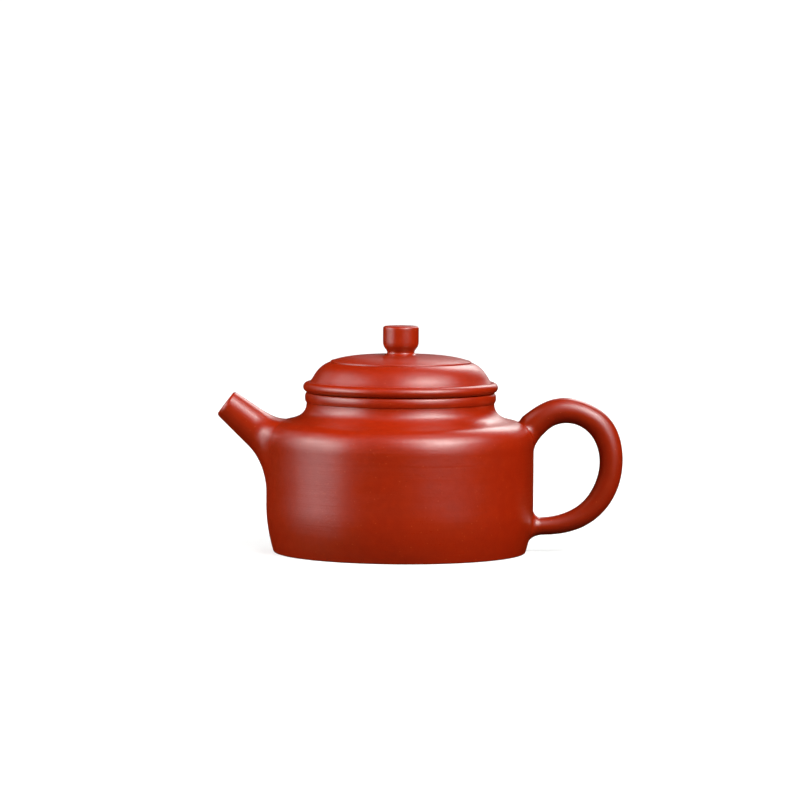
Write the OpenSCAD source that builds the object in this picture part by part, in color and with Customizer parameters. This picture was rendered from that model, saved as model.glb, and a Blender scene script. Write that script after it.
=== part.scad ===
// Round-shouldered clay teapot, slab-built.
// Millimetres, +Z up, origin at the centre of the foot on the table plane,
// spout towards -X, handle towards +X. Mirror-symmetric about the XZ plane.

/* [Pot body] */
// Radius of the straight wall, outside
body_r = 41.45; // [40.6:0.05:42.6]
// Height of the straight wall's upper tangent, where the shoulder starts to round over
wall_top = 32.4; // [31.9:0.1:32.9]
// Thickness of the clay slab of the wall and shoulder
wall = 2.8; // [2.3:0.1:3.2]
// Height of the shoulder slab's crown above the wall's upper tangent
shoulder_rise = 8.7; // [8.4:0.1:9.0]
// Squareness of the shoulder's rounding (2 = elliptical, higher = squarer)
shoulder_square = 2.6; // [2.3:0.1:3.0]
// Depth of the hollow pressed in the underside of the floor
foot_recess = 0.9; // [0.5:0.1:1.4]

/* [Mouth] */
// Outer radius of the neck at its narrowest
neck_r = 29.1; // [28.9:0.05:29.3]
// Inner radius of the mouth
mouth_r = 26.2; // [26.0:0.05:26.5]
// Height of the mouth's rim above the table
rim_z = 49.55; // [49.4:0.05:49.7]
// How far the mouth's bead stands proud of its root
mouth_bead = 0.64; // [0.4:0.02:0.9]

/* [Lid] */
// Radius of the lid at the crest of its bead
lid_r = 30.2; // [29.9:0.05:30.5]
// Gap between the mouth's rim and the lid that rests on it
seat_gap = 0.05; // [0.03:0.01:0.1]
// Radial clearance of the locating ring in the mouth
flange_gap = 0.28; // [0.2:0.01:0.4]
// Depth of the locating ring below the lid's plate
flange_depth = 5.6; // [4:0.2:6.4]
// Radius of the thin applied disc on top of the lid
disc_r = 21.8; // [21.4:0.1:22.1]
// Radius of the vent hole through knob and lid
vent_r = 1.05; // [0.8:0.05:1.3]

/* [Knob] */
// Radius of the knob
knob_r = 5.55; // [5.2:0.05:6]
// Height of the knob's top above the table
knob_top = 70.15; // [69.6:0.05:71]

/* [Spout] */
// Outer radius of the spout at its lip
spout_lip_r = 4.5; // [4.3:0.1:4.7]
// Bore radius of the spout at its lip
spout_bore_r = 2.9; // [2.5:0.1:3.0]
// Radius of the hole through the wall behind the spout
spout_hole_r = 4.7; // [4.4:0.1:4.8]
// Half width of the spout's root on the wall
spout_root_w = 11.5; // [10:0.5:13]

/* [Handle] */
// Half width of the handle across the plane of its loop, at its top
handle_half_w = 4.1; // [3.6:0.1:4.5]
// Half width of the handle at its lower root
handle_low_w = 2.95; // [2.6:0.05:3.3]

/* [Strainer] */
// Thickness of the pierced dome
strainer_wall = 1.1; // [0.9:0.1:1.3]
// Radius of the small holes
strainer_hole_r = 0.75; // [0.6:0.05:0.8]

/* [Hidden] */

clay = [0.66, 0.20, 0.12];
clay_dark = [0.56, 0.15, 0.09];

$fn = 96;
plate_z = 3.2;                 // top of the floor slab, where the wall stands
crown_z = wall_top + shoulder_rise;

// ---------- curves ----------
function bez(a, b, c, d, n) =
    [for (i = [0:n]) let (t = i / n, s = 1 - t)
        s*s*s*a + 3*s*s*t*b + 3*s*t*t*c + t*t*t*d];
// superellipse arc from the angle 0 (outermost) to the angle e
function sup(rc, zc, a, b, n, e, k) =
    [for (i = [0:k]) let (th = e * i / k)
        [rc + a * pow(cos(th), 2/n), zc + b * pow(sin(th), 2/n)]];
function tail(v) = [for (i = [1:1:len(v)-1]) v[i]];
function head(v) = [for (i = [0:1:len(v)-2]) v[i]];
function rev(v) = [for (i = [len(v)-1:-1:0]) v[i]];
function unit(v) = v / max(norm(v), 1e-9);

// ---------- pot outer profile, [r, z], from the foot up to the neck ----------
sh_rc = body_r - 9.95;
sh_a = 9.95;
sh_n = shoulder_square;
sh_u = 0.402;                                  // where the shoulder hands over to the cove
sh_e = acos(pow(sh_u, sh_n / 2));
sh_end = [sh_rc + sh_a * sh_u, wall_top + shoulder_rise * pow(sin(sh_e), 2 / sh_n)];
sh_slope = -shoulder_rise / sh_a * pow(sh_u, sh_n - 1) / pow(1 - pow(sh_u, sh_n), 1 - 1 / sh_n);

foot_pts = [[body_r - 2.65, 0], [body_r - 2.3, 0.12], [body_r - 2.15, 0.6]];
taper_pts = bez([body_r - 2.15, 0.6], [body_r - 0.85, 5.2], [body_r, 9.5], [body_r, 15], 14);
shoulder_pts = sup(sh_rc, wall_top, sh_a, shoulder_rise, sh_n, sh_e, 16);
cove_pts = bez(sh_end, sh_end + [-4.5, -4.5 * sh_slope], [neck_r + 0.05, 43.2], [neck_r, 46.35], 16);
outer_pts = concat(foot_pts, tail(taper_pts), shoulder_pts, tail(cove_pts));

// height -> radius of the outside, and arc length along it
tab_zr = [for (p = outer_pts) [p[1], p[0]]];
cum = [for (i = 0, s = 0; i < len(outer_pts);
            s = s + (i < len(outer_pts) - 1 ? norm(outer_pts[i+1] - outer_pts[i]) : 0), i = i + 1) s];
tab_sr = [for (i = [0:len(outer_pts)-1]) [cum[i], outer_pts[i][0]]];
tab_sz = [for (i = [0:len(outer_pts)-1]) [cum[i], outer_pts[i][1]]];
tab_zs = [for (i = [0:len(outer_pts)-1]) [outer_pts[i][1], cum[i]]];
function s_of_z(z) = lookup(z, tab_zs);
// point of the outside at arc length s, y off the mirror plane, on the side sx
function skin(s, y, sx, sink = 0) =
    let (r = lookup(s, tab_sr) - sink, z = lookup(s, tab_sz)) [sx * sqrt(r*r - y*y), y, z];

// ---------- pot inner profile ----------
in_foot = bez([37.1, plate_z], [38.1, 5.8], [body_r - wall, 9.5], [body_r - wall, 15], 8);
in_shoulder = sup(sh_rc, wall_top, sh_a - wall, shoulder_rise - wall, sh_n, sh_e, 12);
in_end = in_shoulder[len(in_shoulder) - 1];

// ---------- lid profile ----------
seat_z = rim_z + seat_gap;
bead_mid = 51.2;
bead_half = bead_mid - seat_z;
bead_top = bead_mid + bead_half;
dome_cut = 58.8;                                // plane the dome's flank reaches at the disc's edge
dome_r = 28.1;                                  // where the dome springs from the bead
dome_edge = 22.2;
flank_pts = concat(                             // a small flare, then the dome's rounding
    bez([dome_r, bead_top], [27.55, bead_top + 0.72], [27.27, bead_top + 1.2], [26.95, bead_top + 1.75], 5),
    tail(bez([26.95, bead_top + 1.75], [26.1, bead_top + 3.1], [24.95, dome_cut - 1.05], [dome_edge, dome_cut], 14)));
function disc_under(r) = dome_cut + 1.3 * (1 - pow(min(r, disc_r) / disc_r, 4));
function disc_over(r) = dome_cut + 0.42 + 1.95 * (1 - pow(min(r, disc_r) / disc_r, 4));
knob_seat_r = 5.6;
knob_seat_z = disc_over(knob_seat_r);

// ---------- limbs: a tube given by its two edges in the mirror plane ----------
function cr(v, t) =                             // Catmull-Rom through the rows of v
    let (n = len(v), i = min(floor(t), n - 2), f = t - i,
         p1 = v[i], p2 = v[i+1],
         p0 = i > 0 ? v[i-1] : 2*p1 - p2, p3 = i < n - 2 ? v[i+2] : 2*p2 - p1)
    0.5 * (2*p1 + (p2 - p0)*f + (2*p0 - 5*p1 + 4*p2 - p3)*f*f + (3*p1 - p0 - 3*p2 + p3)*f*f*f);
// ring of n points; row = [x outer, z outer, x inner, z inner, half width]
function ring(row, n) =
    let (c = [(row[0]+row[2])/2, 0, (row[1]+row[3])/2],
         e = [(row[0]-row[2])/2, 0, (row[1]-row[3])/2])
    [for (i = [0:n-1]) let (a = 360 * i / n) c + e * sin(a) + [0, row[4] * cos(a), 0]];
// footprint on the pot's outside, between arc lengths s0 and s1, half width w, as [s, y]
function foot(s0, s1, w, k, n) =
    [for (i = [0:n-1]) let (a = 360 * i / n) [(s0 + s1)/2 + k * (s1 - s0)/2 * sin(a), k * w * cos(a)]];
function on_skin(v, sx, sink) = [for (p = v) skin(p[0], p[1], sx, sink)];
function herm(p, tp, q, tq, t) =
    (2*t*t*t - 3*t*t + 1)*p + (t*t*t - 2*t*t + t)*tp + (3*t*t - 2*t*t*t)*q + (t*t*t - t*t)*tq;
// rings that carry the tube's end ring r0 (r0b is the ring just before it) down to the skin:
// f1 is the footprint there, f1b a slightly larger one that lies a hair under the skin
function root_rings(r0b, r0, f1, f1b, m) =
    [for (j = [1:m]) [for (i = [0:len(r0)-1])
        let (d = norm(f1[i] - r0[i]))
        herm(r0[i], unit(r0[i] - r0b[i]) * d, f1[i], unit(f1b[i] - f1[i]) * d, j / m)]];
function ring_faces(n, j, k) = [for (i = [0:n-1]) let (q = (i+1) % n) each
    [[j*n + i, j*n + q, k*n + q], [j*n + i, k*n + q, k*n + i]]];
// closed tube: rings in order, a fan at each end
module tube(rings) {
    n = len(rings[0]);
    m = len(rings);
    mid = [for (r = [rings[0], rings[m-1]]) [for (k = [0:2]) [for (p = r) p[k]] * [for (p = r) 1/n]]];
    polyhedron(concat([for (r = rings) each r], mid),
        concat([for (j = [0:m-2]) each ring_faces(n, j, j+1)],
               [for (i = [0:n-1]) [m*n, (i+1) % n, i]],
               [for (i = [0:n-1]) [m*n + 1, (m-1)*n + i, (m-1)*n + (i+1) % n]]), convexity = 8);
}
// closed pipe wall: the rings go along the outside and come back along the inside
module pipe(rings) {
    n = len(rings[0]);
    m = len(rings);
    polyhedron([for (r = rings) each r],
        [for (j = [0:m-1]) each ring_faces(n, j, (j+1) % m)], convexity = 8);
}

// ---------- spout ----------
sx = body_r - 41.45;                            // the limbs follow the wall's radius
lip_u = [-51.5 - sx, 49.55];
lip_l = [-56.9 - sx, 42.37];
lip_c = (lip_u + lip_l) / 2;
lip_e = unit(lip_u - lip_l) * spout_lip_r;
sp_a = [lip_c[0] + lip_e[0], lip_c[1] + lip_e[1], lip_c[0] - lip_e[0], lip_c[1] - lip_e[1], spout_lip_r];
sp_b = [-43.6 - sx, 44.3, -47.1 - sx, 32.7, 5.5];
function sp_row(t) = [for (i = [0:3]) (1-t)*sp_a[i] + t*sp_b[i]] ;
function sp_ring(t, n) = ring(concat(sp_row(t), [(1-t)*sp_a[4] + t*sp_b[4] + 0.35*t*t]), n);
sp_n = 52;
sp_s0 = s_of_z(18.2);
sp_s1 = s_of_z(41.4);
// hole through the wall: a true cylinder whose axis drops inwards
hole_at = [-body_r, 34.6];
hole_tilt = 25;
hole_dir = [cos(hole_tilt), -sin(hole_tilt)];
function hole_pt(a, t) = [hole_at[0] + hole_dir[0]*t - hole_dir[1]*spout_hole_r*sin(a), spout_hole_r*cos(a),
                          hole_at[1] + hole_dir[1]*t + hole_dir[0]*spout_hole_r*sin(a)];
// how far along the hole's axis its edge meets the outside, by halving
function hole_hit(a, lo, hi, k) =
    let (m = (lo + hi)/2, p = hole_pt(a, m), o = norm([p[0], p[1]]) - lookup(p[2], tab_zr))
    k == 0 ? m : (o > 0 ? hole_hit(a, m, hi, k-1) : hole_hit(a, lo, m, k-1));
hole_edge = [for (i = [0:sp_n-1]) let (a = 360*i/sp_n, p = hole_pt(a, hole_hit(a, -6, 6, 26))) [s_of_z(p[2]), p[1]]];
// channel: circles along a curve from the lip to that hole
ch_dir = unit([lip_e[1], -lip_e[0]]);           // inwards along the spout at the lip
ch_n = 12;
ch_path = bez(lip_c, lip_c + ch_dir * 7.5, [-43.9 - sx, 37.5], hole_at - hole_dir * 0.2, ch_n);
lip_round = 0.8;                                // the lip's outer edge is rounded over, the inner one half as much
function lip_ring(r, back) =
    [for (q = [0:sp_n-1]) let (a = 360*q/sp_n, c = lip_c + ch_dir * back, e = unit(lip_e))
        [c[0] + e[0]*r*sin(a), r*cos(a), c[1] + e[1]*r*sin(a)]];
function ch_r(i) = i < 2 ? spout_bore_r : spout_bore_r + (spout_hole_r - spout_bore_r) * pow((i - 2) / (ch_n - 2), 1.5);
function ch_ring(i) =
    let (c = ch_path[i], p = unit(ch_path[min(i+1, ch_n)] - ch_path[max(i-1, 0)]),
         w = max(0, (i - 5) / (ch_n - 5)), t = unit(p * (1 - w) + hole_dir * w), r = ch_r(i))
    [for (q = [0:sp_n-1]) let (a = 360*q/sp_n) [c[0] - t[1]*r*sin(a), r*cos(a), c[1] + t[0]*r*sin(a)]];

module spout() {
    f = foot(sp_s0, sp_s1, spout_root_w, 1, sp_n);
    color(clay) pipe(rev(concat(
        [for (x = [0, 30, 60]) lip_ring(spout_lip_r - lip_round * (1 - sin(x)), lip_round * (1 - cos(x)))],
        [for (t = [0.07, 0.25, 0.45, 0.65, 0.85, 1]) sp_ring(t, sp_n)],
        root_rings(sp_ring(0.98, sp_n), sp_ring(1, sp_n), on_skin(f, -1, 0),
                   on_skin(foot(sp_s0, sp_s1, spout_root_w, 1.02, sp_n), -1, 0.04), 12),
        [for (w = [0.1:0.1:1]) on_skin([for (i = [0:sp_n-1]) f[i]*(1-w) + hole_edge[i]*w], -1, -0.016)],
        [for (i = [ch_n-1:-1:1]) ch_ring(i)],
        [for (x = [0, 45, 90]) lip_ring(spout_bore_r + lip_round/2 * (1 - cos(x)), lip_round/2 * (1 - sin(x)))])));
}

// ---------- handle: edges of the loop, from the upper root to the lower ----------
h_rows = [
    [38.1, 42.5, 44.6, 37.0], [40.9, 44.6, 46.0, 38.4], [43.7, 46.2, 47.7, 39.5],
    [47.2, 47.7, 49.7, 40.1], [51.3, 48.3, 51.8, 40.3], [55.4, 47.4, 54.0, 40.0],
    [59.5, 45.8, 56.4, 39.0], [63.3, 43.5, 58.6, 37.3], [66.3, 40.1, 60.3, 34.9],
    [68.1, 35.7, 61.3, 32.2], [69.0, 31.2, 61.8, 29.4], [69.0, 26.6, 61.8, 26.4],
    [68.2, 22.0, 61.0, 23.2], [66.6, 17.8, 59.6, 19.6], [64.2, 14.0, 57.6, 16.9],
    [60.9, 10.6, 55.2, 14.6], [56.8, 7.9, 52.4, 12.9], [52.0, 6.3, 49.2, 11.8],
    [47.6, 5.7, 46.4, 11.2], [44.2, 5.5, 43.9, 11.0]];
h_m = len(h_rows) - 1;
function h_w(t) = handle_half_w + (handle_low_w - handle_half_w) * pow(t / h_m, 1.25);
h_tab = [for (i = [0:h_m]) concat([h_rows[i][0] + sx, h_rows[i][1], h_rows[i][2] + sx, h_rows[i][3]], [h_w(i)])];
h_n = 32;
function h_ring(t) = ring(cr(h_tab, t), h_n);
h_top = [s_of_z(31.0), s_of_z(40.63), 5.5];
h_low = [s_of_z(13.3), s_of_z(2.9), 4.5];       // turned over: the loop's inner edge is uppermost here
function h_root(q, r0b, r0) = concat(
    root_rings(r0b, r0, on_skin(foot(q[0], q[1], q[2], 1, h_n), 1, 0),
               on_skin(foot(q[0], q[1], q[2], 1.03, h_n), 1, 0.03), 7),
    [for (k = [0.85, 0.7, 0.5, 0.25]) on_skin(foot(q[0], q[1], q[2], k, h_n), 1, -0.012)]);

module handle() {
    color(clay) tube(concat(
        rev(h_root(h_low, h_ring(h_m - 0.04), h_ring(h_m))),
        [for (j = [h_m * 2:-1:0]) h_ring(j / 2)],
        h_root(h_top, h_ring(0.04), h_ring(0))));
}

// ---------- pot ----------
module base_plate() {
    o = [for (p = outer_pts) if (p[1] < plate_z - 0.05) p];
    color(clay) rotate_extrude()
        polygon(concat([[0, foot_recess], [32.8, foot_recess], [34.0, 0.15], [34.5, 0]],
                       o, [[lookup(plate_z, tab_zr), plate_z], [0, plate_z]]));
}

module body_wall() {
    o = [for (p = concat(tail(taper_pts), shoulder_pts)) if (p[1] > plate_z + 0.05) p];
    color(clay) difference() {
        rotate_extrude()
            polygon(concat([[lookup(plate_z, tab_zr), plate_z]], o,
                           rev(concat(in_foot, in_shoulder))));
        translate([hole_at[0], 0, hole_at[1]]) rotate([0, 90 + hole_tilt, 0])
            translate([0, 0, -4]) cylinder(r = spout_hole_r, h = 14, $fn = 64);
    }
}

shoulder_cut = 5;                               // index on the cove where the neck's clay starts
module shoulder_plate() {
    c = [for (i = [0:shoulder_cut]) cove_pts[i]];
    q = cove_pts[shoulder_cut];
    color(clay) rotate_extrude()
        polygon(concat(c, [[q[0], crown_z - 0.1], [mouth_r, crown_z - 0.1],
                           [mouth_r, in_end[1] + 0.75], [mouth_r + 0.6, in_end[1] + 0.25],
                           [sh_rc - 1.5, in_end[1] + 0.12], in_end]));
}

module neck_ring() {
    c = [for (i = [shoulder_cut:16]) cove_pts[i]];
    q = cove_pts[shoulder_cut];
    color(clay) rotate_extrude()
        polygon(concat([[mouth_r, crown_z - 0.1], [q[0], crown_z - 0.1]], c, [[mouth_r, 46.35]]));
}

module mouth_rim() {
    h = (rim_z - 0.08 - 46.42) / 2;
    zc = 46.42 + h;
    color(clay) rotate_extrude()
        polygon(concat([[mouth_r, 46.35], [neck_r - 0.12, 46.35], [neck_r - 0.08, 46.42]],
                       [for (i = [-7:7]) let (a = i * 90 / 8) [neck_r - 0.1 + mouth_bead * cos(a), zc + h * sin(a)]],
                       [[neck_r - 0.12, rim_z - 0.05], [neck_r - 0.3, rim_z],
                        [mouth_r + 0.35, rim_z], [mouth_r, rim_z - 0.35]]));
}

module strainer() {
    r = spout_hole_r;
    q = spout_hole_r - strainer_wall;
    // along the hole's axis: a short collar in the wall, then the dome inside the pot
    color(clay_dark) translate([hole_at[0], 0, hole_at[1]]) rotate([0, 90 + hole_tilt, 0]) translate([0, 0, 2.9])
        difference() {
            rotate_extrude($fn = 64)
                polygon(concat([[q, -0.5], [r, -0.5]],
                               [for (i = [0:12]) let (a = i * 7.5) r * [cos(a), sin(a)]],
                               [for (i = [12:-1:0]) let (a = i * 7.5) q * [cos(a), sin(a)]]));
            for (k = [[0, 1], [26, 6], [51, 12]], i = [0:k[1]-1])
                rotate([0, 0, 360 * i / k[1] + (k[1] == 6 ? 15 : 0)]) rotate([0, k[0], 0])
                    translate([0, 0, 2.4]) cylinder(r = strainer_hole_r, h = 4, $fn = 24);
        }
}

// ---------- lid ----------
module lid_flange() {
    r = mouth_r - flange_gap;
    z1 = seat_z - 0.02;
    z0 = seat_z - flange_depth;
    color(clay) rotate_extrude()
        polygon([[r, z1], [r - 2.1, z1], [r - 2.1, z0 + 0.5], [r - 1.7, z0], [r - 0.75, z0], [r - 0.3, z0 + 0.45]]);
}

module lid_rim() {
    r = mouth_r - flange_gap - 2.1;
    color(clay) rotate_extrude()
        polygon(concat([[r, seat_z], [28.45, seat_z]],
                       [for (i = [-8:8]) let (a = i * 10) [28.5 + (lid_r - 28.5) * cos(a), bead_mid + bead_half * 0.99 * sin(a)]],
                       [[dome_r, bead_top], [r, bead_top]]));
}

module lid_dome() {
    r = mouth_r - flange_gap - 2.1;
    under = [for (i = [0:10]) let (q = i * r / 10.6) [q, bead_top + 4.65 * pow(1 - pow(q / r, 5), 1/1.8)]];
    color(clay) difference() {
        rotate_extrude()
            polygon(concat(flank_pts,
                           [for (i = [0:10]) let (q = disc_r * (10 - i) / 10) [q, disc_under(q)]],
                           under, [[r, bead_top + 0.6], [r, bead_top]]));
        translate([0, 0, 50]) cylinder(r = vent_r, h = 14, $fn = 32);
    }
}

module lid_disc() {
    color(clay) difference() {
        rotate_extrude()
            polygon(concat([for (i = [0:10]) let (q = disc_r * i / 10) [q, disc_under(q)]],
                           [[disc_r, dome_cut + 0.3], [disc_r - 0.12, dome_cut + 0.42]],
                           [for (i = [0:14]) let (q = knob_seat_r + (disc_r - 0.7 - knob_seat_r) * (14 - i) / 14) [q, disc_over(q)]],
                           [[0, knob_seat_z]]));
        translate([0, 0, 50]) cylinder(r = vent_r, h = 14, $fn = 32);
    }
}

module knob() {
    z = knob_seat_z;
    t = knob_top;
    k = knob_r;
    color(clay) difference() {
        rotate_extrude()
            polygon(concat([[0, z], [knob_seat_r, z], [5.1, z + 0.12], [4.68, z + 0.3], [4.36, z + 0.55], [4.2, z + 0.85]],
                           tail(bez([4.2, z + 0.85], [4.3, z + 1.5], [k - 0.7, z + 1.9], [k - 0.25, z + 2.75], 6)),
                           bez([k - 0.17, z + 3.0], [k - 0.05, z + 3.4], [k, z + 3.8], [k, z + 4.4], 4),
                           [[k, t - 0.8]],
                           tail(bez([k, t - 0.8], [k, t - 0.3], [k - 0.35, t - 0.04], [k - 0.9, t], 6)),
                           [[0, t + 0.03]]));
        translate([0, 0, z - 1]) cylinder(r = vent_r, h = 14, $fn = 32);
    }
}

base_plate();
body_wall();
shoulder_plate();
neck_ring();
mouth_rim();
spout();
strainer();
handle();
lid_flange();
lid_rim();
lid_dome();
lid_disc();
knob();
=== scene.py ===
import math

import bmesh
import bpy
import numpy as np
from mathutils import Matrix, Quaternion, Vector


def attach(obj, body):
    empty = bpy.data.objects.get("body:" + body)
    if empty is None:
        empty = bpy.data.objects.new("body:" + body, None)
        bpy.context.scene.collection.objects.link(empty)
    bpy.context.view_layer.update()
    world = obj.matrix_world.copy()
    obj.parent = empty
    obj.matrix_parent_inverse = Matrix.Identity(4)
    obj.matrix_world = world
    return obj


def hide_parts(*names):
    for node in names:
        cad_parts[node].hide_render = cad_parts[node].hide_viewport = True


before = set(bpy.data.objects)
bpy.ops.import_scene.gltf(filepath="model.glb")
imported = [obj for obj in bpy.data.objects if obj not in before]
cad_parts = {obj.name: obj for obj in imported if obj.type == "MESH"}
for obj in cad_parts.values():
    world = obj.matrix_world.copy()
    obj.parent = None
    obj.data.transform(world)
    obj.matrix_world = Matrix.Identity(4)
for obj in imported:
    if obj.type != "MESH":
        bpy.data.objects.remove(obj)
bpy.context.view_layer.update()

MM = 0.001
scene = bpy.context.scene


# ------------------------------------------------------------------ curves (millimetres)
def bez(a, b, c, d, n):
    a, b, c, d = (np.array(v, float) for v in (a, b, c, d))
    t = np.linspace(0, 1, n + 1)[:, None]
    s = 1 - t
    return s**3 * a + 3 * s * s * t * b + 3 * s * t * t * c + t**3 * d


def sup(rc, zc, a, b, n, e, k):
    th = np.radians(np.linspace(0, e, k + 1))
    c = np.clip(np.cos(th), 0, 1)
    return np.stack([rc + a * c ** (2 / n), zc + b * np.sin(th) ** (2 / n)], 1)


def line(a, b, step):
    a, b = np.array(a, float), np.array(b, float)
    n = max(1, int(math.ceil(np.linalg.norm(b - a) / step)))
    return a + (b - a) * np.linspace(0, 1, n + 1)[:, None]


def arc(c, r, a0, a1, n):
    t = np.radians(np.linspace(a0, a1, n + 1))
    return np.stack([c[0] + r * np.cos(t), c[1] + r * np.sin(t)], 1)


def chain(*parts):
    out = []
    for part in parts:
        for p in np.atleast_2d(np.array(part, float)):
            if not out or np.linalg.norm(p - out[-1]) > 1e-4:
                out.append(p)
    if np.linalg.norm(out[0] - out[-1]) < 1e-4:
        out.pop()
    return np.array(out)


def soften(pts, corners, n=5):
    """Rounds the corners named as (index, radius) of an open polyline."""
    out = []
    named = dict(corners)
    for i, p in enumerate(pts):
        if i not in named:
            out.append(np.array(p, float))
            continue
        a, b, c = (np.array(pts[j], float) for j in (i - 1, i, (i + 1) % len(pts)))
        u, v = (a - b) / np.linalg.norm(a - b), (c - b) / np.linalg.norm(c - b)
        r = min(named[i], 0.49 * np.linalg.norm(a - b), 0.49 * np.linalg.norm(c - b))
        for t in np.linspace(0, 1, n + 1):
            out.append((1 - t) ** 2 * (b + u * r) + 2 * t * (1 - t) * b + t * t * (b + v * r))
    return np.array(out)


# ------------------------------------------------------------------ the pot's outside, foot to neck
BODY_R, WALL_TOP, WALL, RISE, SQ = 41.45, 32.4, 2.8, 8.7, 2.6
NECK_R, MOUTH_R, RIM_Z, BEAD = 29.1, 26.2, 49.55, 0.64
LID_R, SEAT_GAP, FLANGE_GAP, FLANGE_DEPTH, DISC_R, VENT_R = 30.2, 0.05, 0.28, 5.6, 21.8, 1.05
KNOB_R, KNOB_TOP = 5.55, 70.15
PLATE_Z, RECESS = 3.2, 0.9
SH_RC, SH_A, SH_U = BODY_R - 9.95, 9.95, 0.402
SH_E = math.degrees(math.acos(SH_U ** (SQ / 2)))
SH_END = np.array([SH_RC + SH_A * SH_U, WALL_TOP + RISE * math.sin(math.radians(SH_E)) ** (2 / SQ)])
SH_SLOPE = -RISE / SH_A * SH_U ** (SQ - 1) / (1 - SH_U**SQ) ** (1 - 1 / SQ)

foot_pts = bez((38.75, 0), (39.1, 0), (39.22, 0.25), (39.3, 0.6), 8)
taper_pts = bez((39.3, 0.6), (40.6, 5.2), (BODY_R, 9.5), (BODY_R, 15), 48)
wall_pts = line((BODY_R, 15), (BODY_R, WALL_TOP), 1.0)
shoulder_pts = sup(SH_RC, WALL_TOP, SH_A, RISE, SQ, SH_E, 60)
cove_pts = bez(SH_END, SH_END + np.array([-4.5, -4.5 * SH_SLOPE]), (NECK_R + 0.05, 43.2), (NECK_R, 46.35), 64)
outer = chain(foot_pts, taper_pts, wall_pts, shoulder_pts, cove_pts)
cum = np.concatenate([[0], np.cumsum(np.linalg.norm(np.diff(outer, axis=0), axis=1))])


def s_of_z(z):
    return float(np.interp(z, outer[:, 1], cum))


def r_of_z(z):
    return np.interp(z, outer[:, 1], outer[:, 0])


def skin(s, y, sx, sink=0.0):
    r = np.interp(s, cum, outer[:, 0]) - sink
    z = np.interp(s, cum, outer[:, 1])
    return np.stack([sx * np.sqrt(r * r - y * y), y, z], -1)


# ------------------------------------------------------------------ meshes
def new_object(name, verts, faces, mats, mat_index=None, sharp=38.0):
    me = bpy.data.meshes.new(name)
    me.from_pydata((np.array(verts) * MM).tolist(), [], faces)
    me.validate()
    for m in mats:
        me.materials.append(m)
    if mat_index is not None and len(mat_index) == len(me.polygons):
        me.polygons.foreach_set("material_index", mat_index)
    o = bpy.data.objects.new(name, me)
    bpy.context.collection.objects.link(o)
    tidy(o, sharp)
    return o


def tidy(o, sharp=38.0):
    me = o.data
    bm = bmesh.new()
    bm.from_mesh(me)
    bmesh.ops.remove_doubles(bm, verts=bm.verts, dist=1e-8)
    bmesh.ops.recalc_face_normals(bm, faces=bm.faces)
    bm.to_mesh(me)
    bm.free()
    me.polygons.foreach_set("use_smooth", [True] * len(me.polygons))
    me.set_sharp_from_angle(angle=math.radians(sharp))
    me.update()


def lathe(name, prof, mats, inside=None, seg=384, sharp=38.0):
    """Closed profile [(r, z)] turned about Z. inside(r, z) says which faces take the second material."""
    prof = np.array(prof, float)
    n = len(prof)
    ang = np.arange(seg) * 2 * math.pi / seg
    verts, first, pole = [], [], []
    for r, z in prof:
        first.append(len(verts))
        if r < 1e-6:
            pole.append(True)
            verts.append((0.0, 0.0, z))
        else:
            pole.append(False)
            verts.extend(zip(r * np.cos(ang), r * np.sin(ang), np.full(seg, z)))
    faces, idx = [], []
    for i in range(n):
        j = (i + 1) % n
        if pole[i] and pole[j]:
            continue
        m = 1 if inside is not None and inside(*((prof[i] + prof[j]) / 2)) else 0
        a, b = first[i], first[j]
        for k in range(seg):
            q = (k + 1) % seg
            if pole[i]:
                faces.append((a, b + k, b + q))
            elif pole[j]:
                faces.append((a + k, b, a + q))
            else:
                faces.append((a + k, b + k, b + q, a + q))
            idx.append(m)
    return new_object(name, verts, faces, mats, idx, sharp)


def grid(name, rings, mats, closed, inside_from=None, sharp=38.0):
    """Rings of the same count, joined in order. closed: the last joins the first; otherwise each end gets a fan."""
    m, n = len(rings), len(rings[0])
    verts = [tuple(p) for r in rings for p in r]
    faces, idx = [], []
    for j in range(m if closed else m - 1):
        k = (j + 1) % m
        for i in range(n):
            q = (i + 1) % n
            faces.append((j * n + i, j * n + q, k * n + q, k * n + i))
            idx.append(1 if inside_from is not None and j >= inside_from else 0)
    if not closed:
        for j, flip in ((0, True), (m - 1, False)):
            c = len(verts)
            verts.append(tuple(np.mean(rings[j], axis=0)))
            for i in range(n):
                q = (i + 1) % n
                faces.append((c, j * n + q, j * n + i) if flip else (c, j * n + i, j * n + q))
                idx.append(0)
    return new_object(name, verts, faces, mats, idx, sharp)


def boolean(o, cutter, solver="EXACT"):
    mod = o.modifiers.new("cut", "BOOLEAN")
    mod.operation = "DIFFERENCE"
    mod.object = cutter
    mod.solver = solver
    dg = bpy.context.evaluated_depsgraph_get()
    me = bpy.data.meshes.new_from_object(o.evaluated_get(dg))
    o.modifiers.clear()
    old = o.data
    o.data = me
    bpy.data.meshes.remove(old)
    bpy.data.objects.remove(cutter, do_unlink=True)
    tidy(o)


# ------------------------------------------------------------------ materials
def nodes_of(mat):
    mat.use_nodes = True
    nt = mat.node_tree
    nt.nodes.clear()
    return nt


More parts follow.
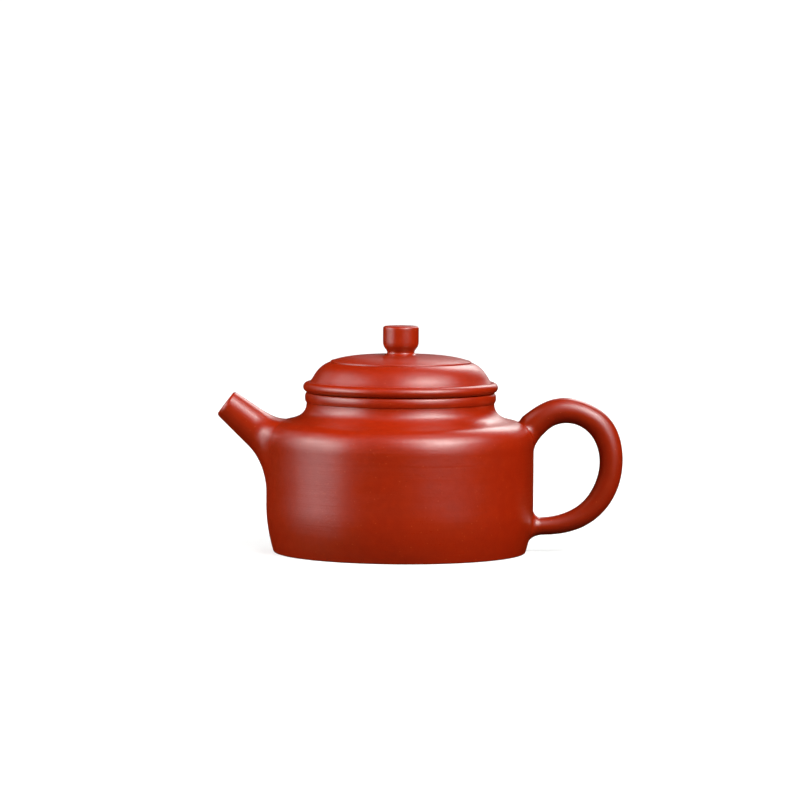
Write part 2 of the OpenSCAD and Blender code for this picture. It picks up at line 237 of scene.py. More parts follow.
class Net:
    """Small helper that adds nodes and links them."""

    def __init__(self, mat):
        self.nt = nodes_of(mat)
        self.x = 0

    def add(self, kind, **props):
        nd = self.nt.nodes.new(kind)
        nd.location = (self.x, 0)
        self.x += 60
        for k, v in props.items():
            setattr(nd, k, v)
        return nd

    def link(self, a, b):
        self.nt.links.new(a, b)

    def value(self, sock, v):
        if hasattr(v, "node"):
            self.link(v, sock)
        else:
            sock.default_value = v

    def math(self, op, a, b=None, c=None, clamp=False):
        nd = self.add("ShaderNodeMath", operation=op, use_clamp=clamp)
        self.value(nd.inputs[0], a)
        if b is not None:
            self.value(nd.inputs[1], b)
        if c is not None:
            self.value(nd.inputs[2], c)
        return nd.outputs[0]

    def combine(self, x, y, z):
        nd = self.add("ShaderNodeCombineXYZ")
        for s, v in zip(nd.inputs, (x, y, z)):
            self.value(s, v)
        return nd.outputs[0]

    def noise(self, vec, scale, detail=3.0, rough=0.5, dist=0.0):
        nd = self.add("ShaderNodeTexNoise", noise_dimensions="3D")
        self.link(vec, nd.inputs["Vector"])
        nd.inputs["Scale"].default_value = scale
        nd.inputs["Detail"].default_value = detail
        nd.inputs["Roughness"].default_value = rough
        nd.inputs["Distortion"].default_value = dist
        return nd.outputs["Fac"]

    def ramp(self, fac, stops):
        nd = self.add("ShaderNodeValToRGB")
        self.link(fac, nd.inputs[0])
        cr = nd.color_ramp
        while len(cr.elements) < len(stops):
            cr.elements.new(0.5)
        for e, (p, c) in zip(cr.elements, stops):
            e.position = p
            e.color = c
        return nd.outputs["Color"]

    def span(self, fac, a, b, lo, hi):
        nd = self.add("ShaderNodeMapRange", clamp=True)
        self.link(fac, nd.inputs["Value"])
        for k, v in (("From Min", a), ("From Max", b), ("To Min", lo), ("To Max", hi)):
            nd.inputs[k].default_value = v
        return nd.outputs["Result"]

    def mix(self, fac, a, b, blend="MIX"):
        nd = self.add("ShaderNodeMix", data_type="RGBA", blend_type=blend)
        self.value(nd.inputs[0], fac)
        self.value(nd.inputs[6], a)
        self.value(nd.inputs[7], b)
        return nd.outputs[2]

    def bump(self, height, strength, distance, normal=None):
        nd = self.add("ShaderNodeBump")
        nd.inputs["Strength"].default_value = strength
        nd.inputs["Distance"].default_value = distance
        self.link(height, nd.inputs["Height"])
        if normal is not None:
            self.link(normal, nd.inputs["Normal"])
        return nd.outputs["Normal"]


CLAY_MID = (0.236, 0.0080, 0.0006, 1)
CLAY_LOW = (0.206, 0.0060, 0.0004, 1)
CLAY_HIGH = (0.272, 0.0125, 0.0014, 1)


def clay(name, lay, rough=0.345, coat=0.04, coat_rough=0.22, streak=1.0, grain=1.0, painted_shade=1.0):
    """Fired fine-grained red clay. lay says which way the horn tool was drawn: turned, loop, spout or none."""
    mat = bpy.data.materials.new(name)
    g = Net(mat)
    tc = g.add("ShaderNodeTexCoord").outputs["Object"]
    sep = g.add("ShaderNodeSeparateXYZ")
    g.link(tc, sep.inputs[0])
    x, y, z = sep.outputs
    # direction of the burnishing marks
    if lay == "turned":
        rad = g.math("SQRT", g.math("ADD", g.math("MULTIPLY", x, x), g.math("MULTIPLY", y, y)))
        v = g.combine(g.math("MULTIPLY_ADD", rad, 60.0, g.math("MULTIPLY", x, 1.1)),
                      g.math("MULTIPLY", y, 1.1), g.math("MULTIPLY", z, 60.0))
    elif lay == "loop":
        dx = g.math("SUBTRACT", x, 0.052)
        dz = g.math("SUBTRACT", z, 0.0265)
        rad = g.math("SQRT", g.math("ADD", g.math("MULTIPLY", dx, dx), g.math("MULTIPLY", dz, dz)))
        v = g.combine(g.math("MULTIPLY_ADD", rad, 60.0, g.math("MULTIPLY", dx, 2.5)),
                      g.math("MULTIPLY", y, 60.0), g.math("MULTIPLY", dz, 2.5))
    elif lay == "spout":
        a = math.radians(-41)
        along = g.math("MULTIPLY_ADD", x, math.cos(a), g.math("MULTIPLY", z, math.sin(a)))
        across = g.math("MULTIPLY_ADD", x, -math.sin(a), g.math("MULTIPLY", z, math.cos(a)))
        v = g.combine(g.math("MULTIPLY", along, 2.5), g.math("MULTIPLY", y, 60.0), g.math("MULTIPLY", across, 60.0))
    else:
        v = tc
    lines = g.noise(v, 45.0, 3.0, 0.6)             # about a third of a millimetre apart
    wide_lines = g.noise(v, 12.0, 2.0, 0.5)
    grain_n = g.noise(tc, 3600.0, 2.0, 0.6)         # clay grain, a quarter of a millimetre
    pores = g.noise(tc, 1500.0, 1.0, 0.5)
    cloud = g.noise(tc, 70.0, 3.0, 0.55)            # slow tone changes from firing and handling
    hand = g.noise(tc, 55.0, 1.0, 0.4)              # unevenness of hand-beaten slabs
    # colour; painted_shade under 1 darkens the whole clay, which is painted shade
    low, mid, high = [tuple(v * painted_shade for v in c[:3]) + (1,) for c in (CLAY_LOW, CLAY_MID, CLAY_HIGH)]
    col = g.mix(g.span(cloud, 0.32, 0.68, 0.0, 1.0), low, mid)
    col = g.mix(g.span(g.noise(tc, 420.0, 4.0, 0.65), 0.45, 0.75, 0.0, 0.45), col, high)
    speck = g.add("ShaderNodeTexVoronoi", feature="F1", distance="EUCLIDEAN")
    g.link(tc, speck.inputs["Vector"])
    speck.inputs["Scale"].default_value = 900.0
    dots = g.span(speck.outputs["Distance"], 0.10, 0.19, 1.0, 0.0)
    pick = g.span(g.noise(tc, 800.0, 0.0, 0.5), 0.60, 0.66, 0.0, 1.0)
    col = g.mix(g.math("MULTIPLY", g.math("MULTIPLY", dots, pick), 0.55), col, (0.42, 0.07, 0.030, 1))
    dark_pick = g.span(g.noise(tc, 640.0, 0.0, 0.5), 0.34, 0.40, 1.0, 0.0)
    col = g.mix(g.math("MULTIPLY", g.math("MULTIPLY", dots, dark_pick), 0.5), col, (0.11, 0.004, 0.001, 1))
    # roughness: burnish lines and grain break the gloss up
    rv = g.math("ADD", g.span(lines, 0.3, 0.7, -0.035 * streak, 0.035 * streak),
                g.span(grain_n, 0.3, 0.7, -0.03 * grain, 0.04 * grain))
    rv = g.math("ADD", rv, g.span(cloud, 0.3, 0.7, 0.03, -0.03))
    rv = g.math("ADD", rv, rough, clamp=True)
    # relief
    n1 = g.bump(hand, 0.5, 0.0004)
    n2 = g.bump(wide_lines, 0.45 * streak, 0.00007, n1) if streak else n1
    n3 = g.bump(lines, 0.55 * streak, 0.000026, n2) if streak else n2
    n4 = g.bump(pores, 0.45 * grain, 0.00004, n3)
    n5 = g.bump(grain_n, 0.6 * grain, 0.000016, n4)
    bs = g.add("ShaderNodeBsdfPrincipled")
    g.link(col, bs.inputs["Base Color"])
    g.link(rv, bs.inputs["Roughness"])
    g.link(n5, bs.inputs["Normal"])
    bs.inputs["IOR"].default_value = 1.5
    bs.inputs["Specular IOR Level"].default_value = 0.5
    bs.inputs["Coat Weight"].default_value = coat
    bs.inputs["Coat Roughness"].default_value = coat_rough
    bs.inputs["Coat IOR"].default_value = 1.5
    g.link(n3, bs.inputs["Coat Normal"])
    out = g.add("ShaderNodeOutputMaterial")
    g.link(bs.outputs[0], out.inputs[0])
    mat.diffuse_color = (0.62, 0.17, 0.10, 1)
    return mat


CLAY = clay("clay_turned", "turned")
# the handle takes the same clay painted darker (0.86 of the pot's colour): painted shade
CLAY_LOOP = clay("clay_handle", "loop", streak=0.7, painted_shade=0.86)
CLAY_SPOUT = clay("clay_spout", "spout", streak=0.7)
CLAY_IN = clay("clay_inside", "turned", rough=0.62, coat=0.0, coat_rough=0.4, streak=1.8, grain=2.2)


# ------------------------------------------------------------------ pot pieces
made = {}


def piece(obj, node, body):
    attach(obj, body)
    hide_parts(node)
    made[node] = obj
    return obj


def outer_between(z0, z1):
    zs = outer[(outer[:, 1] > z0 + 1e-3) & (outer[:, 1] < z1 - 1e-3)]
    return chain([(r_of_z(z0), z0)], zs, [(r_of_z(z1), z1)])


# floor slab: pressed-in centre, standing ring, flat inside floor
under = chain([(0, RECESS)], line((0, RECESS), (31.6, RECESS), 1.6), bez((31.6, RECESS), (33.0, RECESS), (33.4, 0.0), (34.6, 0.0), 12),
              line((34.6, 0), (38.75, 0), 0.8))
base = lathe("base_plate", chain(under, outer_between(0.0, PLATE_Z), [(37.6, PLATE_Z)], line((37.6, PLATE_Z), (0, PLATE_Z), 1.8)),
             [CLAY, CLAY_IN], inside=lambda r, z: z > 3.1 or (z > 0.02 and r < 34.0 and z < 1.0))
piece(base, "base_plate", "pot")

# wall: rolled slab with its rounded shoulder; the spout's hole is cut through it
in_foot = bez((37.15, PLATE_Z + 1.6), (38.1, 6.6), (BODY_R - WALL, 10.0), (BODY_R - WALL, 15.5), 20)
in_shoulder = sup(SH_RC, WALL_TOP, SH_A - WALL, RISE - WALL, SQ, SH_E, 26)
in_end = in_shoulder[-1]
inner_wall = chain(bez((35.3, PLATE_Z + 0.01), (36.4, PLATE_Z + 0.01), (36.95, PLATE_Z + 0.55), (37.15, PLATE_Z + 1.6), 8),
                   in_foot, line((BODY_R - WALL, 15.5), (BODY_R - WALL, WALL_TOP), 1.4), in_shoulder)
zone = outer_between(PLATE_Z, SH_END[1])
wall = lathe("body_wall", chain(zone, inner_wall[::-1], [(35.3, PLATE_Z)]),
             [CLAY, CLAY_IN], inside=lambda r, z: r < r_of_z(z) - 0.6, seg=432)
HOLE_AT, HOLE_TILT, HOLE_R = np.array([-BODY_R, 34.6]), math.radians(25), 4.7
HOLE_DIR = np.array([math.cos(HOLE_TILT), -math.sin(HOLE_TILT)])


def along_hole(v):
    """Local points (z along the hole's axis, inwards) to the row frame."""
    v = np.array(v, float)
    up = np.array([math.sin(HOLE_TILT), math.cos(HOLE_TILT)])
    return np.stack([HOLE_AT[0] + v[..., 2] * HOLE_DIR[0] + v[..., 0] * up[0], v[..., 1],
                     HOLE_AT[1] + v[..., 2] * HOLE_DIR[1] + v[..., 0] * up[1]], -1)


def rod(name, r, z0, z1, seg, place, rot=None):
    a = np.arange(seg) * 2 * math.pi / seg
    rings = []
    for z in (z0, z1):
        v = np.stack([r * np.cos(a), r * np.sin(a), np.full(seg, z)], -1)
        if rot is not None:
            v = v @ np.array(rot.to_3x3()).T
        rings.append(place(v))
    return grid(name, rings, [CLAY_IN], False)


boolean(wall, rod("cut", HOLE_R, -5, 11, 72, along_hole))
piece(wall, "body_wall", "pot")

CUT = 20                                            # along the cove, where the neck's clay starts
crown = WALL_TOP + RISE - 0.1
q = cove_pts[CUT]
shoulder = lathe("shoulder_plate",
                 chain(cove_pts[: CUT + 1], [(q[0], crown)], [(MOUTH_R + 0.02, crown)], [(MOUTH_R + 0.02, in_end[1] + 1.5)],
                       bez((MOUTH_R + 0.02, in_end[1] + 1.5), (MOUTH_R + 0.05, in_end[1] + 0.5), (MOUTH_R + 0.7, in_end[1] + 0.25),
                           (MOUTH_R + 1.8, in_end[1] + 0.2), 8),
                       line((MOUTH_R + 1.8, in_end[1] + 0.2), (SH_RC - 1.5, in_end[1] + 0.12), 1.0), [in_end]),
                 [CLAY, CLAY_IN], inside=lambda r, z: z < r * 0 + 40.6 and r < 34.4 or r < MOUTH_R + 0.3)
piece(shoulder, "shoulder_plate", "pot")

neck = lathe("neck_ring", chain([(MOUTH_R, crown), (q[0], crown)], cove_pts[CUT:], [(MOUTH_R, 46.35)], line((MOUTH_R, 46.35), (MOUTH_R, crown), 1.2)),
             [CLAY, CLAY_IN], inside=lambda r, z: r < MOUTH_R + 0.3)
piece(neck, "neck_ring", "pot")

bh = (RIM_Z - 0.08 - 46.42) / 2
bzc = 46.42 + bh
a = np.radians(np.linspace(-84, 84, 37))
bead = np.stack([NECK_R - 0.1 + BEAD * np.cos(a), bzc + bh * np.sin(a)], 1)
mouth = lathe("mouth_rim", chain([(MOUTH_R, 46.35), (NECK_R - 0.02, 46.35)], bead, [(NECK_R - 0.12, RIM_Z - 0.05)],
                                 bez((NECK_R - 0.14, RIM_Z - 0.04), (NECK_R - 0.2, RIM_Z), (NECK_R - 0.3, RIM_Z), (NECK_R - 0.5, RIM_Z), 4),
                                 line((NECK_R - 0.5, RIM_Z), (MOUTH_R + 0.5, RIM_Z), 0.5),
                                 bez((MOUTH_R + 0.5, RIM_Z), (MOUTH_R + 0.15, RIM_Z), (MOUTH_R, RIM_Z - 0.15), (MOUTH_R, RIM_Z - 0.5), 6),
                                 line((MOUTH_R, RIM_Z - 0.5), (MOUTH_R, 46.35), 0.8)),
              [CLAY, CLAY_IN], inside=lambda r, z: r < MOUTH_R + 0.02)
piece(mouth, "mouth_rim", "pot")


# ------------------------------------------------------------------ limbs
def unit(v):
    return v / np.maximum(np.linalg.norm(v, axis=-1, keepdims=True), 1e-9)


def ring(row, n):
    a = np.arange(n) * 2 * math.pi / n
    c = np.array([(row[0] + row[2]) / 2, 0, (row[1] + row[3]) / 2])
    e = np.array([(row[0] - row[2]) / 2, 0, (row[1] - row[3]) / 2])
    return c + e * np.sin(a)[:, None] + np.stack([0 * a, row[4] * np.cos(a), 0 * a], 1)


def foot(s0, s1, w, k, n):
    a = np.arange(n) * 2 * math.pi / n
    return np.stack([(s0 + s1) / 2 + k * (s1 - s0) / 2 * np.sin(a), k * w * np.cos(a)], 1)


def on_skin(v, sx, sink=0.0):
    return skin(v[:, 0], v[:, 1], sx, sink)


def root_rings(r0b, r0, f1, f1b, m):
    d = np.linalg.norm(f1 - r0, axis=1, keepdims=True)
    tp, tq = unit(r0 - r0b) * d, unit(f1b - f1) * d
    out = []
    for j in range(1, m + 1):
        t = j / m
        out.append((2 * t**3 - 3 * t * t + 1) * r0 + (t**3 - 2 * t * t + t) * tp
                   + (3 * t * t - 2 * t**3) * f1 + (t**3 - t * t) * tq)
    return out


# spout
lip_u, lip_l = np.array([-51.5, 49.55]), np.array([-56.9, 42.37])
LIP_R, BORE_R = 4.5, 2.9
lip_c = (lip_u + lip_l) / 2
lip_e = unit(lip_u - lip_l) * LIP_R
sp_a = np.array([*(lip_c + lip_e), *(lip_c - lip_e), LIP_R])
sp_b = np.array([-43.6, 44.3, -47.1, 32.7, 5.5])
SN = 96


def sp_row(t):
    row = (1 - t) * sp_a + t * sp_b
    row[4] += 0.35 * t * t
    return row


sp_s0, sp_s1, SP_W = s_of_z(18.2), s_of_z(41.4), 11.5
f = foot(sp_s0, sp_s1, SP_W, 1, SN)
hole_edge = []
for i in range(SN):
    ang = 2 * math.pi * i / SN
    lo, hi = -6.0, 6.0
    for _ in range(40):
        m = (lo + hi) / 2
        p = along_hole([HOLE_R * math.sin(ang), HOLE_R * math.cos(ang), m])
        if math.hypot(p[0], p[1]) > r_of_z(p[2]):
            lo = m
        else:
            hi = m
    hole_edge.append((s_of_z(p[2]), p[1]))
hole_edge = np.array(hole_edge)
CN = 30
ch_dir = unit(np.array([lip_e[1], -lip_e[0]]))
ch_path = bez(lip_c, lip_c + ch_dir * 7.5, (-43.9, 37.5), HOLE_AT - HOLE_DIR * 0.2, CN)


def ch_ring(i, grow=0.0, slide=0.0):
    c = ch_path[i]
    p = unit(ch_path[min(i + 1, CN)] - ch_path[max(i - 1, 0)])
    w = max(0.0, (i - 0.42 * CN) / (0.58 * CN))
    t = unit(p * (1 - w) + HOLE_DIR * w)
    u = max(0.0, (i - CN / 6) / (CN * 5 / 6))
    r = BORE_R + (HOLE_R - BORE_R) * u**1.5 + grow
    a = np.arange(SN) * 2 * math.pi / SN
    c = c + slide * t
    return np.stack([c[0] - t[1] * r * np.sin(a), r * np.cos(a), c[1] + t[0] * r * np.sin(a)], 1)


def lip_ring(r, back):
    """Circle at the spout's lip, drawn back along the spout."""
    a = np.arange(SN) * 2 * math.pi / SN
    e = unit(lip_e)
    c = lip_c + ch_dir * back
    return np.stack([c[0] + e[0] * r * np.sin(a), r * np.cos(a), c[1] + e[1] * r * np.sin(a)], 1)


LIP = 0.8                                           # rounding of the lip, half as much inside
tube = [ring(sp_row(t), SN) for t in np.linspace(0.07, 1, 26)]
rings = [lip_ring(LIP_R - LIP * (1 - math.sin(x)), LIP * (1 - math.cos(x))) for x in np.radians(np.linspace(0, 82, 9))]
rings += tube
rings += root_rings(ring(sp_row(0.98), SN), ring(sp_row(1), SN), on_skin(f, -1),
                    on_skin(foot(sp_s0, sp_s1, SP_W, 1.01, SN), -1), 40)
rings += [on_skin(f * (1 - w) + hole_edge * w, -1, 0.15) for w in (0.12, 0.5, 0.92)]
rings += [along_hole(np.stack([HOLE_R * np.sin(x), HOLE_R * np.cos(x), 0 * x + 0.6], -1)) for x in [np.arange(SN) * 2 * math.pi / SN]]
inside_from = len(rings) - 1
rings += [ch_ring(i) for i in range(CN - 1, 1, -1)]
rings += [lip_ring(BORE_R + LIP / 2 * (1 - math.cos(x)), LIP / 2 * (1 - math.sin(x))) for x in np.radians(np.linspace(0, 90, 7))]
spout = grid("spout", rings, [CLAY_SPOUT, CLAY_IN], True, inside_from)
piece(spout, "spout", "pot")

# handle: its two edges in the mirror plane, from the upper root round to the lower
H = np.array([
    [38.1, 42.5, 44.6, 37.0], [40.9, 44.6, 46.0, 38.4], [43.7, 46.2, 47.7, 39.5],
    [47.2, 47.7, 49.7, 40.1], [51.3, 48.3, 51.8, 40.3], [55.4, 47.4, 54.0, 40.0],
    [59.5, 45.8, 56.4, 39.0], [63.3, 43.5, 58.6, 37.3], [66.3, 40.1, 60.3, 34.9],
    [68.1, 35.7, 61.3, 32.2], [69.0, 31.2, 61.8, 29.4], [69.0, 26.6, 61.8, 26.4],
    [68.2, 22.0, 61.0, 23.2], [66.6, 17.8, 59.6, 19.6], [64.2, 14.0, 57.6, 16.9],
    [60.9, 10.6, 55.2, 14.6], [56.8, 7.9, 52.4, 12.9], [52.0, 6.3, 49.2, 11.8],
    [47.6, 5.7, 46.4, 11.2], [44.2, 5.5, 43.9, 11.0]])
HM = len(H) - 1
hw = 4.1 + (2.95 - 4.1) * (np.arange(HM + 1) / HM) ** 1.25
H = np.concatenate([H, hw[:, None]], 1)


def smooth_rows(v, passes=2):
    """Takes the listed rows' small waves out without pulling the loop in."""
    v = v.copy()
    for _ in range(passes):
        for k in (0.5, -0.52):
            d = np.zeros_like(v)
            d[1:-1] = (v[:-2] + v[2:]) / 2 - v[1:-1]
            v += k * d
    return v


H = smooth_rows(H)
H[10:12, 0] -= 0.02


def cr(v, t):
    n = len(v)
    i = min(int(t), n - 2)
    u = t - i
    p1, p2 = v[i], v[i + 1]
    p0 = v[i - 1] if i > 0 else 2 * p1 - p2
    p3 = v[i + 2] if i < n - 2 else 2 * p2 - p1
    return 0.5 * (2 * p1 + (p2 - p0) * u + (2 * p0 - 5 * p1 + 4 * p2 - p3) * u * u + (3 * p1 - p0 - 3 * p2 + p3) * u**3)


HN = 72


def h_ring(t):
    return ring(cr(H, t), HN)


def h_root(s0, s1, w, r0b, r0):
    out = root_rings(r0b, r0, on_skin(foot(s0, s1, w, 1, HN), 1), on_skin(foot(s0, s1, w, 1.01, HN), 1), 20)
    return out + [on_skin(foot(s0, s1, w, k, HN), 1, 0.15) for k in (0.9, 0.5, 0.2)]


up = h_root(s_of_z(31.0), s_of_z(40.63), 5.5, h_ring(0.04), h_ring(0))
low = h_root(s_of_z(13.3), s_of_z(2.9), 4.5, h_ring(HM - 0.04), h_ring(HM))
loop = [h_ring(t) for t in np.linspace(HM, 0, HM * 6 + 1)]
handle = grid("handle", low[::-1] + loop + up, [CLAY_LOOP], False)
piece(handle, "handle", "pot")


# strainer: pierced dome in the wall's hole
SW = 1.1
t = np.radians(np.linspace(0, 90, 19))
dome = np.concatenate([[[HOLE_R - SW, -0.5], [HOLE_R, -0.5]], HOLE_R * np.stack([np.cos(t), np.sin(t)], 1),
                       (HOLE_R - SW) * np.stack([np.cos(t[::-1]), np.sin(t[::-1])], 1)])
dome[dome[:, 0] < 1e-6, 0] = 0
dm = lathe("strainer", chain(dome * np.array([0.997, 1.0])), [CLAY_IN], seg=96)


def shift_to_hole(o, z):
    co = np.array([v.co for v in o.data.vertices]) / MM
    co[:, 2] += z
    co = along_hole(co) * MM
    o.data.vertices.foreach_set("co", co.ravel())
    o.data.update()


cutters = []
for polar, count, turn in ((0, 1, 0), (26, 6, 15), (51, 12, 0)):
    for i in range(count):
        m = Matrix.Rotation(math.radians(360 * i / count + turn), 4, "Z") @ Matrix.Rotation(math.radians(polar), 4, "Y")
        cutters.append(rod("cut", 0.75, 2.4, 6.4, 24, lambda v: v, m))
bm = bmesh.new()
for c in cutters:
    bm.from_mesh(c.data)
    bpy.data.objects.remove(c, do_unlink=True)
me = bpy.data.meshes.new("cutters")
bm.to_mesh(me)
bm.free()
cut = bpy.data.objects.new("cutters", me)
bpy.context.collection.objects.link(cut)
boolean(dm, cut)
shift_to_hole(dm, 2.9)
tidy(dm, 30)
piece(dm, "strainer", "pot")


# ------------------------------------------------------------------ lid
seat_z = RIM_Z + SEAT_GAP
fr = MOUTH_R - FLANGE_GAP
z1, z0 = seat_z - 0.02, seat_z - FLANGE_DEPTH
flange = lathe("lid_flange", soften(chain([(fr, z1), (fr - 2.1, z1)], line((fr - 2.1, z1), (fr - 2.1, z0), 1.0),
                                          [(fr - 1.2, z0), (fr - 0.2, z0 + 0.0)], line((fr - 0.2, z0), (fr, z1), 1.0)),
                                    [(7, 0.9), (9, 0.8)], 6),
               [CLAY_IN], seg=256)
piece(flange, "lid_flange", "lid_ring")

bead_mid = 51.2
bead_half = bead_mid - seat_z
bead_top = bead_mid + bead_half
ir = fr - 2.1
a = np.radians(np.linspace(-86, 86, 49))
lbead = np.stack([28.5 + (LID_R - 28.5) * np.cos(a), bead_mid + bead_half * 0.985 * np.sin(a)], 1)
DOME_R = 28.1
rim = lathe("lid_rim", chain([(ir, seat_z)], line((ir, seat_z), (28.5, seat_z), 0.8), lbead, [(DOME_R, bead_top)], [(ir, bead_top)],
                             line((ir, bead_top), (ir, seat_z), 1.0)),
            [CLAY, CLAY_IN], inside=lambda r, z: r < 28.0)
piece(rim, "lid_rim", "lid")

DCUT = 58.8


def disc_under(r):
    return DCUT + 1.3 * (1 - (np.minimum(r, DISC_R) / DISC_R) ** 4)


def disc_over(r):
    return DCUT + 0.42 + 1.95 * (1 - (np.minimum(r, DISC_R) / DISC_R) ** 4)


edge = 22.2
flank = chain(bez((DOME_R, bead_top), (27.55, bead_top + 0.72), (27.27, bead_top + 1.2), (26.95, bead_top + 1.75), 24),
              bez((26.95, bead_top + 1.75), (26.1, bead_top + 3.1), (24.95, DCUT - 1.05), (edge, DCUT), 60))
rr = np.linspace(DISC_R, VENT_R, 26)
top_under = np.stack([rr, disc_under(rr)], 1)
rr = np.linspace(VENT_R, ir, 40)
lid_in = np.stack([rr, bead_top + 4.65 * np.clip(1 - (rr / ir) ** 5, 0, 1) ** (1 / 1.8)], 1)
dome_o = lathe("lid_dome", chain(flank, [(DISC_R - 0.4, DCUT)], top_under[1:], lid_in, [(ir, bead_top)]),
               [CLAY, CLAY_IN], inside=lambda r, z: r < ir - 0.01 and z < 57.6)
piece(dome_o, "lid_dome", "lid")

ks_r = 5.6
ks_z = float(disc_over(ks_r))
rr = np.linspace(DISC_R - 0.55, ks_r - 0.6, 60)
disc_top = np.stack([rr, disc_over(rr)], 1)
disc_edge = bez((DISC_R, DCUT + 0.1), (DISC_R, DCUT + 0.42), (DISC_R - 0.12, disc_top[0][1] - 0.02), (DISC_R - 0.55, disc_top[0][1]), 8)
rr = np.linspace(VENT_R, DISC_R - 0.4, 24)
disc = lathe("lid_disc", chain(np.stack([rr, disc_under(rr)], 1), [(DISC_R, DCUT)], disc_edge, disc_top, [(VENT_R, ks_z)]),
             [CLAY])
piece(disc, "lid_disc", "lid")

T = KNOB_TOP
kp = chain([(VENT_R, ks_z - 0.02), (ks_r, ks_z - 0.02)], bez((ks_r, ks_z), (5.0, ks_z + 0.02), (4.3, ks_z + 0.2), (4.2, ks_z + 0.85), 12),
           bez((4.2, ks_z + 0.85), (4.3, ks_z + 1.5), (KNOB_R - 0.7, ks_z + 1.9), (KNOB_R - 0.25, ks_z + 2.75), 14),
           bez((KNOB_R - 0.17, ks_z + 3.0), (KNOB_R - 0.05, ks_z + 3.4), (KNOB_R, ks_z + 3.8), (KNOB_R, ks_z + 4.4), 6),
           line((KNOB_R, ks_z + 4.4), (KNOB_R, T - 0.8), 0.5),
           bez((KNOB_R, T - 0.8), (KNOB_R, T - 0.3), (KNOB_R - 0.35, T - 0.04), (KNOB_R - 0.9, T), 12),
           line((KNOB_R - 0.9, T), (VENT_R + 0.35, T + 0.02), 0.4),
           bez((VENT_R + 0.35, T + 0.02), (VENT_R + 0.12, T + 0.02), (VENT_R, T - 0.1), (VENT_R, T - 0.35), 5),
           line((VENT_R, T - 0.35), (VENT_R, ks_z - 0.02), 1.0))
knob = lathe("knob", kp, [CLAY, CLAY_IN], inside=lambda r, z: r < VENT_R + 0.05, seg=192)
piece(knob, "knob", "lid")


# ------------------------------------------------------------------ stage, lights, camera
def plain(name, col, rough, glow):
    mat = bpy.data.materials.new(name)
    g = Net(mat)
    tc = g.add("ShaderNodeTexCoord").outputs["Object"]
    n = g.noise(tc, 3.0, 2.0, 0.5)
    c = g.mix(g.span(n, 0.3, 0.7, 0.0, 1.0), tuple(v * 0.985 for v in col[:3]) + (1,), col)
    bs = g.add("ShaderNodeBsdfPrincipled")
    g.link(c, bs.inputs["Base Color"])
    bs.inputs["Roughness"].default_value = rough
    bs.inputs["Specular IOR Level"].default_value = 0.1
    bs.inputs["Emission Color"].default_value = (1, 1, 1, 1)
    sep = g.add("ShaderNodeSeparateXYZ")
    g.link(tc, sep.inputs[0])
    far = g.math("SQRT", g.math("ADD", g.math("MULTIPLY", sep.outputs[0], sep.outputs[0]),
                                g.math("MULTIPLY", sep.outputs[1], sep.outputs[1])))
    g.link(g.span(far, 0.2, 1.3, glow, 0.93), bs.inputs["Emission Strength"])
    out = g.add("ShaderNodeOutputMaterial")
    g.link(bs.outputs[0], out.inputs[0])
    return mat


# a pale sweep: flat floor that curves up far behind the pot
sweep = [(-3.0, -0.00005), (1.6, -0.00005)] + [(1.6 + 0.9 * math.sin(t), 0.9 - 0.9 * math.cos(t)) for t in np.radians(np.linspace(6, 90, 15))] + [(2.5, 3.2)]
sv, sf = [], []
for yy, zz in sweep:
    sv += [(-4.0, yy, zz), (4.0, yy, zz)]
for i in range(len(sweep) - 1):
    sf.append((2 * i, 2 * i + 1, 2 * i + 3, 2 * i + 2))
me = bpy.data.meshes.new("floor")
me.from_pydata(sv, [], sf)
me.materials.append(plain("pale_floor", (0.42, 0.42, 0.42, 1), 0.8, 0.60))
me.polygons.foreach_set("use_smooth", [True] * len(me.polygons))
floor = bpy.data.objects.new("floor", me)
bpy.context.collection.objects.link(floor)
floor.visible_diffuse = False
floor.visible_glossy = False


def area(name, az, el, dist, w, h, power, target=(0, 0, 0.04), spread=180, col=(1, 1, 1)):
    """Softbox seen from the pot at azimuth az (0 = at the camera, + to the right) and elevation el."""
    li = bpy.data.lights.new(name, "AREA")
    li.shape = "RECTANGLE"
    li.size, li.size_y = w, h
    li.energy = power
    li.color = col
    li.spread = math.radians(spread)
    o = bpy.data.objects.new(name, li)
    bpy.context.collection.objects.link(o)
    a_, e_ = math.radians(az), math.radians(el)
    d = Vector((math.sin(a_) * math.cos(e_), -math.cos(a_) * math.cos(e_), math.sin(e_)))
    o.location = Vector(target) + d * dist
    o.rotation_euler = (-d).to_track_quat("-Z", "Y").to_euler()
    return o


# a large soft box to the front right and above, a tall one to the left, one behind to the right and a
# weak one behind to the left: each is laid out as a few panels, brightest in its middle
TINT = (1.0, 1.045, 1.02)
for n, (az, el, w) in enumerate((
        (0, 75, 0.17), (15, 27, 0.41), (15, 40, 0.56), (15, 53, 1.18), (30, 14, 0.83), (30, 27, 2.08), (30, 40, 0.74),
        (30, 53, 1.54), (45, 14, 0.88), (45, 27, 1.28), (45, 40, 5.0), (45, 53, 2.14), (60, 14, 0.35), (60, 40, 2.28),
        (75, 40, 0.7), (75, 53, 1.1), (90, 75, 0.55),
        (145, 28, 0.15), (145, 42, 0.22), (160, 14, 0.42), (160, 28, 1.3), (160, 42, 1.2), (175, 28, 0.24),
        (-60, 12, 2.08), (-60, 27, 1.28), (-60, 45, 0.43), (-60, -3, 0.49), (-75, 12, 1.14), (-75, 27, 2.10),
        (-75, 45, 0.59), (-75, -3, 0.69), (-90, 12, 0.81), (-90, 27, 1.87), (-90, 45, 0.23), (-90, -3, 0.38),
        (-105, 12, 0.37), (-105, 27, 0.38), (-105, 45, 0.46), (-130, 27, 0.17))):
    area("panel_%02d" % n, az, el, 1.0, 0.26, 0.26, w, col=TINT)

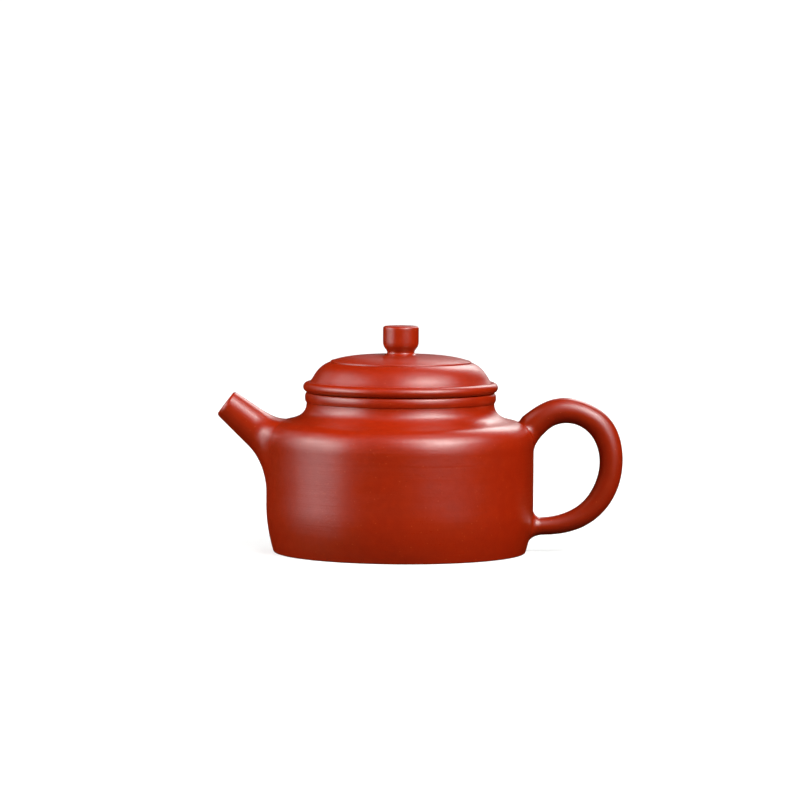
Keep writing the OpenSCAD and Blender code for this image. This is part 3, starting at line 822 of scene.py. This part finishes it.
world = bpy.data.worlds.new("studio")
scene.world = world
world.use_nodes = True
nt = world.node_tree
nt.nodes.clear()
tc = nt.nodes.new("ShaderNodeTexCoord")
sp = nt.nodes.new("ShaderNodeSeparateXYZ")
rp = nt.nodes.new("ShaderNodeValToRGB")
mr = nt.nodes.new("ShaderNodeMapRange")
bg = nt.nodes.new("ShaderNodeBackground")
ow = nt.nodes.new("ShaderNodeOutputWorld")
nt.links.new(tc.outputs["Generated"], sp.inputs[0])
nt.links.new(sp.outputs[2], mr.inputs["Value"])
mr.inputs["From Min"].default_value, mr.inputs["From Max"].default_value = -1, 1
nt.links.new(mr.outputs[0], rp.inputs[0])
rp.color_ramp.elements[0].position, rp.color_ramp.elements[0].color = 0.47, (1, 1, 1, 1)
rp.color_ramp.elements[1].position, rp.color_ramp.elements[1].color = 0.53, (0.55, 0.55, 0.55, 1)
nt.links.new(rp.outputs[0], bg.inputs[0])
bg.inputs[1].default_value = 0.24
world.cycles_visibility.glossy = False            # the room's light is too even to be mirrored in the clay
nt.links.new(bg.outputs[0], ow.inputs[0])

cam = bpy.data.cameras.new("camera")
cam.lens, cam.sensor_width = 210.0, 36.0
cam.clip_start, cam.clip_end = 0.05, 20
cam.dof.use_dof = False
co = bpy.data.objects.new("camera", cam)
bpy.context.collection.objects.link(co)
EL, ROLL, DIST, TARGET = math.radians(4.0), math.radians(0.4), 1.4465, Vector((-0.00014, 0, 0.04716))
back = Vector((0, -math.cos(EL), math.sin(EL)))
co.location = TARGET + back * DIST
co.rotation_euler = ((-back).to_track_quat("-Z", "Y") @ Quaternion((0, 0, 1), ROLL)).to_euler()
scene.camera = co

scene.view_settings.view_transform = "Standard"
scene.view_settings.look = "None"
scene.view_settings.exposure = 0.0
scene.view_settings.gamma = 1.0
# print-like depth: the darkest blues go a little darker, everything else stays
scene.view_settings.use_curve_mapping = True
cm = scene.view_settings.curve_mapping
for at in ((0.012, 0.0055), (0.05, 0.045), (0.09, 0.09)):
    pt = cm.curves[2].points.new(*at)
for pt in cm.curves[2].points:
    pt.handle_type = "VECTOR"
cm.update()
scene.cycles.max_bounces = 8
